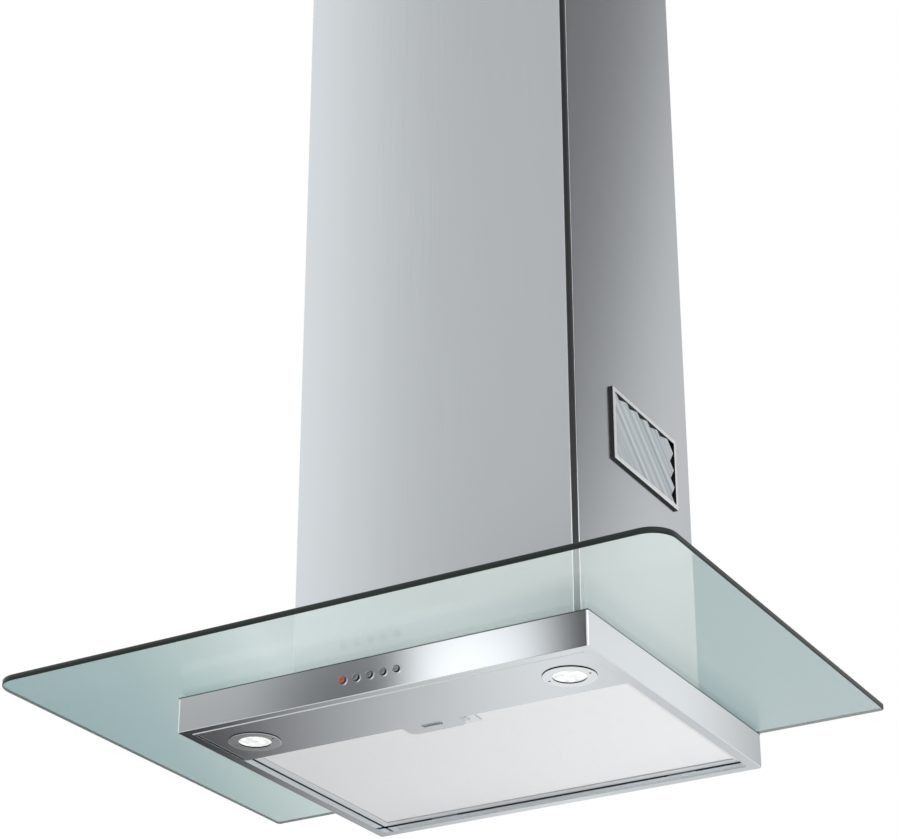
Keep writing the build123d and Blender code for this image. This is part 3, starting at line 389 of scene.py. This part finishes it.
def glassMesh(look):
    low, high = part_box("glass_canopy")
    inset = look["arris"]
    front, rear, steps = look["frontRadius"] - inset, look["rearRadius"] - inset, look["cornerSteps"]
    outlines = [roundedOutline((low[0] + inset, low[1] + inset), (high[0] - inset, high[1] - inset),
                               (front, rear, rear, front), steps)]
    x0, y0, x1, y1 = look["throat"]
    grown = look["throatRadius"] + inset
    outlines.append(roundedOutline((x0 - inset, y0 - inset), (x1 + inset, y1 + inset), [grown] * 4, steps))
    size = look["holeRadius"] + inset
    turns = [2 * math.pi * i / look["holeSteps"] for i in range(look["holeSteps"])]
    for hx, hy in look["holes"]:
        outlines.append([(hx + size * math.cos(a), hy + size * math.sin(a)) for a in turns])
    curve = bpy.data.curves.new("canopyOutline", "CURVE")
    curve.dimensions = "2D"
    curve.fill_mode = "BOTH"
    for outline in outlines:
        spline = curve.splines.new("POLY")
        spline.points.add(len(outline) - 1)
        for point, (x, y) in zip(spline.points, outline):
            point.co = (x, y, 0, 1)
        spline.use_cyclic_u = True
    curve.extrude = (high[2] - low[2]) / 2 - inset
    curve.bevel_depth = inset
    curve.bevel_resolution = 0
    holder = bpy.data.objects.new("canopyOutline", curve)
    scene.collection.objects.link(holder)
    mesh = bpy.data.meshes.new_from_object(holder.evaluated_get(bpy.context.evaluated_depsgraph_get()))
    bpy.data.objects.remove(holder)
    shape = bmesh.new()
    shape.from_mesh(mesh)
    bmesh.ops.remove_doubles(shape, verts=shape.verts, dist=look["weld"])
    bmesh.ops.translate(shape, verts=shape.verts, vec=(0, 0, (low[2] + high[2]) / 2))
    bmesh.ops.recalc_face_normals(shape, faces=shape.faces)
    for face in shape.faces:
        face.material_index = 0 if abs(face.normal.z) > look["faceTurn"] else 1
    shape.to_mesh(mesh)
    shape.free()
    return mesh


def canopyGlass(look):
    face, tree = newMaterial("floatGlassFace")
    shader = addNode(tree, "ShaderNodeBsdfPrincipled", {
        "Base Color": hexColor(look["face"]), "Roughness": look["roughness"], "IOR": look["ior"],
        "Transmission Weight": 1.0, "Coat Weight": 1.0, "Coat Roughness": look["veilRoughness"],
        "Coat IOR": look["veilIor"], "Emission Color": hexColor(look["paintedGlow"]),
        "Emission Strength": look["paintedGlowLevel"]})
    addNode(tree, "ShaderNodeOutputMaterial", {"Surface": shader.outputs[0]})
    edge, tree = newMaterial("floatGlassEdge")
    coords = addNode(tree, "ShaderNodeTexCoord")
    grind = addNode(tree, "ShaderNodeTexNoise", {
        "Vector": coords.outputs["Object"], "Scale": look["grindScale"]})
    tint = hexColor(look["edge"])
    color = addNode(tree, "ShaderNodeMix", {
        0: grind.outputs[0], 6: darker(tint, look["grindDark"]), 7: tint}, data_type="RGBA")
    shader = addNode(tree, "ShaderNodeBsdfPrincipled", {
        "Base Color": color.outputs[2], "Roughness": look["edgeRoughness"],
        "Specular IOR Level": look["edgeGloss"]})
    addNode(tree, "ShaderNodeOutputMaterial", {"Surface": shader.outputs[0]})
    return face, edge


canopy = placePiece("glassCanopy", glassMesh(canopyLook), "hood", *canopyGlass(canopyLook))
canopy.visible_glossy = False  # the steel mirrors the studio, not the pane's veil
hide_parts("glass_canopy")
print("glass canopy:", len(canopy.data.polygons), "faces")


# Filter mesh: two sheets of expanded aluminium, laid out as staggered diamonds by Geometry Nodes
meshLook = {
    "color": "#F0F1F2", "roughness": 0.32, "grainMm": 0.5, "bump": 0.02, "cloud": 0.985,
    "pitchX": 0.0036, "pitchY": 0.0027,  # 3.6 by 2.7 mm diamonds
    "strand": 0.66,  # share of the diamond that is metal
    "twist": 0.0002, "twistBack": 0.2, "border": 0.005,
    "tabHalf": 0.0306, "tabRear": -0.2494, "tabRadius": 0.0086,  # cleared round the lamp plate's tab
    "lowerLift": 0.0002, "upperDrop": 0.0012,  # from the faces of the CAD sheets
    "upperTwist": 0.5, "upperPitch": 1.6,  # the upper sheet is flatter and coarser
}


def diamondCell(look):
    a, b, inner = look["pitchX"] / 2, look["pitchY"] / 2, 1 - look["strand"]
    up, down = look["twist"], -look["twist"] * look["twistBack"]
    corners = [(a, 0), (0, b), (-a, 0), (0, -b)]
    cell = bmesh.new()
    outer = [cell.verts.new((x, y, 0)) for x, y in corners]
    rim = [cell.verts.new((x * inner, y * inner, up if y >= 0 else down)) for x, y in corners]
    for i in range(4):
        j = (i + 1) % 4
        cell.faces.new((outer[j], outer[i], rim[i], rim[j]))
    mesh = bpy.data.meshes.new("diamondCell")
    cell.to_mesh(mesh)
    cell.free()
    holder = bpy.data.objects.new("diamondCell", mesh)
    scene.collection.objects.link(holder)
    return holder


def expandedSheetTree(material):
    tree = bpy.data.node_groups.new("expandedSheet", "GeometryNodeTree")
    tree.interface.new_socket("Geometry", in_out="OUTPUT", socket_type="NodeSocketGeometry")
    for name in ("Width", "Depth", "Pitch X", "Pitch Y", "Tab Half", "Tab Rear", "Tab Radius"):
        tree.interface.new_socket(name, in_out="INPUT", socket_type="NodeSocketFloat")
    tree.interface.new_socket("Place", in_out="INPUT", socket_type="NodeSocketVector")
    tree.interface.new_socket("Cell", in_out="INPUT", socket_type="NodeSocketObject")
    given = addNode(tree, "NodeGroupInput").outputs
    ways = []  # how many diamonds fit each way, and their pitch
    for length, pitch in ((given["Width"], given["Pitch X"]), (given["Depth"], given["Pitch Y"])):
        ways.append((addNode(tree, "ShaderNodeMath", {0: length, 1: pitch}, operation="DIVIDE"), pitch))
    grids = []
    for short in (0.0, 1.0):  # the second grid, a diamond shorter each way, falls between the first's
        counts, spans = [], []
        for fit, pitch in ways:
            whole = addNode(tree, "ShaderNodeMath", {0: fit.outputs[0]}, operation="FLOOR")
            steps = addNode(tree, "ShaderNodeMath", {0: whole.outputs[0], 1: short}, operation="SUBTRACT")
            span = addNode(tree, "ShaderNodeMath", {0: steps.outputs[0], 1: pitch}, operation="MULTIPLY")
            count = addNode(tree, "ShaderNodeMath", {0: steps.outputs[0], 1: 1.0}, operation="ADD")
            spans.append(span.outputs[0])
            counts.append(count.outputs[0])
        grids.append(addNode(tree, "GeometryNodeMeshGrid", {
            "Size X": spans[0], "Size Y": spans[1], "Vertices X": counts[0], "Vertices Y": counts[1]}))
    lattice = addNode(tree, "GeometryNodeJoinGeometry")
    for grid in grids:
        tree.links.new(grid.outputs["Mesh"], lattice.inputs[0])
    position = addNode(tree, "GeometryNodeInputPosition")
    spot = addNode(tree, "ShaderNodeSeparateXYZ", {0: position.outputs[0]})
    aside = addNode(tree, "ShaderNodeMath", {0: spot.outputs["X"]}, operation="ABSOLUTE")
    radius = given["Tab Radius"]
    past = []  # how far a diamond lies beyond the centre of the tab's corner, each way
    for place, edge in ((aside.outputs[0], given["Tab Half"]), (spot.outputs["Y"], given["Tab Rear"])):
        centre = addNode(tree, "ShaderNodeMath", {0: edge, 1: radius}, operation="SUBTRACT")
        beyond = addNode(tree, "ShaderNodeMath", {0: place, 1: centre.outputs[0]}, operation="SUBTRACT")
        past.append(addNode(tree, "ShaderNodeMath", {0: beyond.outputs[0], 1: 0.0}, operation="MAXIMUM"))
    corner = addNode(tree, "ShaderNodeCombineXYZ", {0: past[0].outputs[0], 1: past[1].outputs[0]})
    reach = addNode(tree, "ShaderNodeVectorMath", {0: corner.outputs[0]}, operation="LENGTH")
    inTab = addNode(tree, "FunctionNodeCompare", {
        0: reach.outputs["Value"], 1: radius}, operation="LESS_THAN")
    kept = addNode(tree, "GeometryNodeDeleteGeometry", {
        "Geometry": lattice.outputs[0], "Selection": inTab.outputs[0]})
    cell = addNode(tree, "GeometryNodeObjectInfo", {"Object": given["Cell"]})
    cells = addNode(tree, "GeometryNodeInstanceOnPoints", {
        "Points": kept.outputs[0], "Instance": cell.outputs["Geometry"]})
    moved = addNode(tree, "GeometryNodeTransform", {
        "Geometry": cells.outputs[0], "Translation": given["Place"]})
    solid = addNode(tree, "GeometryNodeRealizeInstances", {0: moved.outputs[0]})
    dressed = addNode(tree, "GeometryNodeSetMaterial", {"Geometry": solid.outputs[0], "Material": material})
    addNode(tree, "NodeGroupOutput", {"Geometry": dressed.outputs[0]})
    return tree


def expandedSheet(name, look, tree, place, size):
    cell = diamondCell(look)
    holder = bpy.data.objects.new(name, bpy.data.meshes.new(name))
    scene.collection.objects.link(holder)
    modifier = holder.modifiers.new("sheet", "NODES")
    modifier.node_group = tree
    values = {
        "Width": size[0], "Depth": size[1], "Pitch X": look["pitchX"], "Pitch Y": look["pitchY"],
        "Tab Half": look["tabHalf"], "Tab Rear": look["tabRear"] - place[1],
        "Tab Radius": look["tabRadius"], "Place": place, "Cell": cell}
    for item in tree.interface.items_tree:
        if item.in_out == "INPUT":
            modifier[item.identifier] = values[item.name]
    holder.update_tag()
    mesh = bpy.data.meshes.new_from_object(holder.evaluated_get(bpy.context.evaluated_depsgraph_get()))
    bpy.data.objects.remove(holder)
    bpy.data.objects.remove(cell)
    return mesh


meshTree = expandedSheetTree(plainFinish("expandedAluminium", {**meshLook, "metallic": 1.0, "nodes": []}))
meshLow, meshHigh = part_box("filter_mesh")
meshMiddle = [(low + high) / 2 for low, high in zip(meshLow[:2], meshHigh[:2])]
meshSize = [high - low - 2 * meshLook["border"] for low, high in zip(meshLow[:2], meshHigh[:2])]
sheets = [("filterMeshLower", meshLow[2] + meshLook["lowerLift"], 1.0, 1.0),
          ("filterMeshUpper", meshHigh[2] - meshLook["upperDrop"], meshLook["upperTwist"],
           meshLook["upperPitch"])]
for sheetName, sheetZ, twist, coarse in sheets:
    sheetLook = {**meshLook, "pitchX": meshLook["pitchX"] * coarse, "pitchY": meshLook["pitchY"] * coarse,
                 "twist": meshLook["twist"] * twist}
    mesh = expandedSheet(sheetName, sheetLook, meshTree, (*meshMiddle, sheetZ), meshSize)
    sheet = placePiece(sheetName, mesh, "filter")
    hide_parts("filter_mesh")
    print(sheetName, len(mesh.polygons), "faces")


# Stage: pale floor, reflector cards and studio light
floorLook = {"low": (-7.0, -7.0, -1.55), "high": (7.0, 7.0, -1.55), "color": "#EDEDEB", "roughness": 0.6}


def stagePlane(name, low, high, material, **visible):  # a rectangle, level or upright
    first, second = [axis for axis in range(3) if low[axis] != high[axis]]
    corners = []
    for one, other in ((low, low), (high, low), (high, high), (low, high)):
        corner = list(low)
        corner[first], corner[second] = one[first], other[second]
        corners.append(corner)
    mesh = bpy.data.meshes.new(name)
    mesh.from_pydata(corners, [], [(0, 1, 2, 3)])
    mesh.materials.append(material)
    plane = bpy.data.objects.new(name, mesh)
    scene.collection.objects.link(plane)
    for ray in ("camera", "diffuse", "glossy", "transmission", "shadow"):
        setattr(plane, "visible_" + ray, visible.get(ray, False))


def gradientCard(name, look):  # stops: shares of the span along the direction, and their colours
    material, tree = newMaterial(name)
    coords = addNode(tree, "ShaderNodeTexCoord")
    along = addNode(tree, "ShaderNodeVectorMath", {
        0: coords.outputs["Object"], 1: look["direction"]}, operation="DOT_PRODUCT")
    share = addNode(tree, "ShaderNodeMapRange", {
        0: along.outputs["Value"], 1: look["span"][0], 2: look["span"][1]})
    ramp = addNode(tree, "ShaderNodeValToRGB", {0: share.outputs[0]})
    while len(ramp.color_ramp.elements) < len(look["stops"]):
        ramp.color_ramp.elements.new(0.5)
    for element, (position, code) in zip(ramp.color_ramp.elements, look["stops"]):
        element.position = position
        element.color = hexColor(code)
    glow = addNode(tree, "ShaderNodeEmission", {"Color": ramp.outputs[0], "Strength": look["strength"]})
    addNode(tree, "ShaderNodeOutputMaterial", {"Surface": glow.outputs[0]})
    stagePlane(name, look["low"], look["high"], material, glossy=look["glossy"],
               transmission=look["transmission"])


floorPaint, tree = newMaterial("floorPaint")
shader = addNode(tree, "ShaderNodeBsdfPrincipled", {
    "Base Color": hexColor(floorLook["color"]), "Roughness": floorLook["roughness"]})
addNode(tree, "ShaderNodeOutputMaterial", {"Surface": shader.outputs[0]})
stagePlane("floor", floorLook["low"], floorLook["high"], floorPaint,
           camera=True, diffuse=True, glossy=True, transmission=True, shadow=True)

# the cards hang where the hood's faces look when seen from the photograph's side
cardLook = {
    "fasciaCard": {
        "low": (-1.9, -1.5, -0.7), "high": (-0.05, -1.5, 0.455), "direction": (1, 0, 0),
        "span": (-1.10, -0.34), "strength": 1.7, "glossy": True, "transmission": True,
        "stops": [(0.0, "#969696"), (0.22, "#969696"), (0.33, "#707070"), (0.40, "#5C5C5C"),
                  (0.56, "#4A4A4A"), (0.60, "#CCCCCC"), (0.65, "#F4F4F4"), (0.72, "#FCFCFC"),
                  (0.80, "#F2F2F2"), (0.87, "#DADADA"), (0.91, "#A8A8A8"), (0.955, "#585858"),
                  (0.975, "#060606")]},
    "chimneyCard": {
        "low": (-2.6, -1.5, 0.56), "high": (0.6, -1.5, 2.6), "direction": (1, 0, 0),
        "span": (-1.1, -0.6), "strength": 1.25, "glossy": True, "transmission": True,
        "stops": [(0.0, "#F2F2F2"), (0.32, "#EAEAEA"), (0.64, "#A6A6A6"), (1.0, "#B2B2B2")]},
    "chimneyLowCard": {
        "low": (-2.6, -1.5, 0.455), "high": (0.6, -1.5, 0.56), "direction": (1, 0, 0),
        "span": (-1.1, -0.35), "strength": 1.25, "glossy": True, "transmission": True,
        "stops": [(0.0, "#D4D4D4"), (0.21, "#DEDEDE"), (0.43, "#B4B4B4"), (0.67, "#969696"),
                  (0.84, "#727272")]},
    "sideCard": {
        "low": (0.6, -0.6, 0.43), "high": (0.6, 2.4, 2.6), "direction": (0, 1, -0.3),
        "span": (0.2, 0.9), "strength": 1.1, "glossy": True, "transmission": True,
        "stops": [(0.0, "#6C6C6C"), (0.14, "#686868"), (0.29, "#666666"), (0.43, "#9C9C9C"),
                  (0.57, "#E4E4E4"), (0.69, "#FCFCFC"), (0.82, "#E6E6E6"), (1.0, "#B0B0B0")]},
    "sideLowCard": {
        "low": (0.6, -0.6, 0.3), "high": (0.6, 2.4, 0.43), "direction": (0, 1, -0.3),
        "span": (0.2, 0.9), "strength": 1.1, "glossy": True, "transmission": True,
        "stops": [(0.0, "#6C6C6C"), (0.29, "#666666"), (0.43, "#848484"), (0.57, "#BEBEBE"),
                  (0.69, "#CCCCCC"), (0.82, "#AEAEAE"), (1.0, "#787878")]},
    "bodyCard": {
        "low": (0.62, -0.2, -0.4), "high": (0.62, 1.6, 0.3), "direction": (0, 1, 0),
        "span": (0.4, 1.0), "strength": 1.07, "glossy": True, "transmission": True,
        "stops": [(0.0, "#F6F6F6"), (0.5, "#FFFFFF"), (0.75, "#E4E4E4"), (1.0, "#B8B8B8")]},
    "underCard": {
        "low": (-4.5, 2.5, -1.54), "high": (0.6, 4.6, -1.54), "direction": (1, 0.5, 0),
        "span": (-1.15, 0.15), "strength": 1.0, "glossy": True, "transmission": False,
        "stops": [(0.0, "#242424"), (0.09, "#484848"), (0.21, "#949494"), (0.37, "#BABABA"),
                  (0.5, "#D6D6D6"), (0.59, "#DEDEDE"), (0.73, "#ECECEC"), (0.85, "#F6F6F6"),
                  (1.0, "#E0E0E0")]},
    "veilCard": {
        "low": (-4.5, 0.4, -1.54), "high": (1.2, 2.5, -1.54), "direction": (1, 0, 0),
        "span": (-2.0, -1.2), "strength": 1.1, "glossy": True, "transmission": False,
        "stops": [(0.0, "#6A6A6A"), (0.5, "#A0A0A0"), (0.75, "#F0F0F0"), (1.0, "#FFFFFF")]},
    "glassBackdrop": {  # tinted, and only the glass shows it
        "low": (-3.0, 0.9, -0.6), "high": (0.42, 0.9, 2.6), "direction": (1, 0, 0.7),
        "span": (-1.0, 0.2), "strength": 1.0, "glossy": False, "transmission": True,
        "stops": [(0.0, "#6C929C"), (0.1, "#7496A0"), (0.22, "#A8B8BB"), (0.31, "#CED4D8"),
                  (0.45, "#B1B8BC"), (0.86, "#5E7C86"), (1.0, "#5E7C88")]},
}
for name, look in cardLook.items():
    gradientCard(name, look)

lightLook = {
    "keyLight": {"place": (-2.6, -2.4, 2.2), "aim": (0, -0.2, 0.2), "size": 2.4, "power": 26},
    "fillLight": {"place": (2.6, -1.6, 1.8), "aim": (0, -0.2, 0.2), "size": 2.4, "power": 14},
    "lowLight": {"place": (0.6, -1.6, -1.3), "aim": (0, -0.2, -0.1), "size": 1.6, "power": 6},
}
for name, look in lightLook.items():
    lamp = bpy.data.lights.new(name, "AREA")
    lamp.size = look["size"]
    lamp.energy = look["power"]
    holder = bpy.data.objects.new(name, lamp)
    holder.location = look["place"]
    holder.rotation_euler = (Vector(look["aim"]) - Vector(look["place"])).to_track_quat("-Z", "Y").to_euler()
    scene.collection.objects.link(holder)

worldLook = {"color": "#FFFFFF", "light": 0.85, "seen": 1.0}  # seen: directly, in gloss or through glass
world = bpy.data.worlds.new("studio")
scene.world = world
world.use_nodes = True
tree = world.node_tree
tree.nodes.clear()
rays = addNode(tree, "ShaderNodeLightPath").outputs
seen = addNode(tree, "ShaderNodeMath", {
    0: rays["Is Camera Ray"], 1: rays["Is Glossy Ray"]}, operation="MAXIMUM")
seen = addNode(tree, "ShaderNodeMath", {
    0: seen.outputs[0], 1: rays["Is Transmission Ray"]}, operation="MAXIMUM")
strength = addNode(tree, "ShaderNodeMapRange", {
    0: seen.outputs[0], 3: worldLook["light"], 4: worldLook["seen"]})
sky = addNode(tree, "ShaderNodeBackground", {
    "Color": hexColor(worldLook["color"]), "Strength": strength.outputs[0]})
addNode(tree, "ShaderNodeOutputWorld", {"Surface": sky.outputs[0]})
print("stage set")

# Camera at the photograph's place: right of the hood, below the glass, looking up
cameraLook = {
    "place": (1.135, -2.188, -0.976), "yaw": 30.16, "pitch": 27.13, "lens": 100.9, "sensor": 36.0,
    "clipEnd": 60.0,
}
yaw, pitch = math.radians(cameraLook["yaw"]), math.radians(cameraLook["pitch"])
sight = Vector((-math.sin(yaw) * math.cos(pitch), math.cos(yaw) * math.cos(pitch), math.sin(pitch)))
camera = bpy.data.objects.new("camera", bpy.data.cameras.new("camera"))
camera.location = cameraLook["place"]
camera.rotation_euler = sight.to_track_quat("-Z", "Y").to_euler()
camera.data.lens = cameraLook["lens"]
camera.data.sensor_width = cameraLook["sensor"]
camera.data.sensor_fit = "HORIZONTAL"
camera.data.clip_end = cameraLook["clipEnd"]
scene.collection.objects.link(camera)
scene.camera = camera
scene.view_settings.view_transform = "Standard"

bpy.context.view_layer.update()
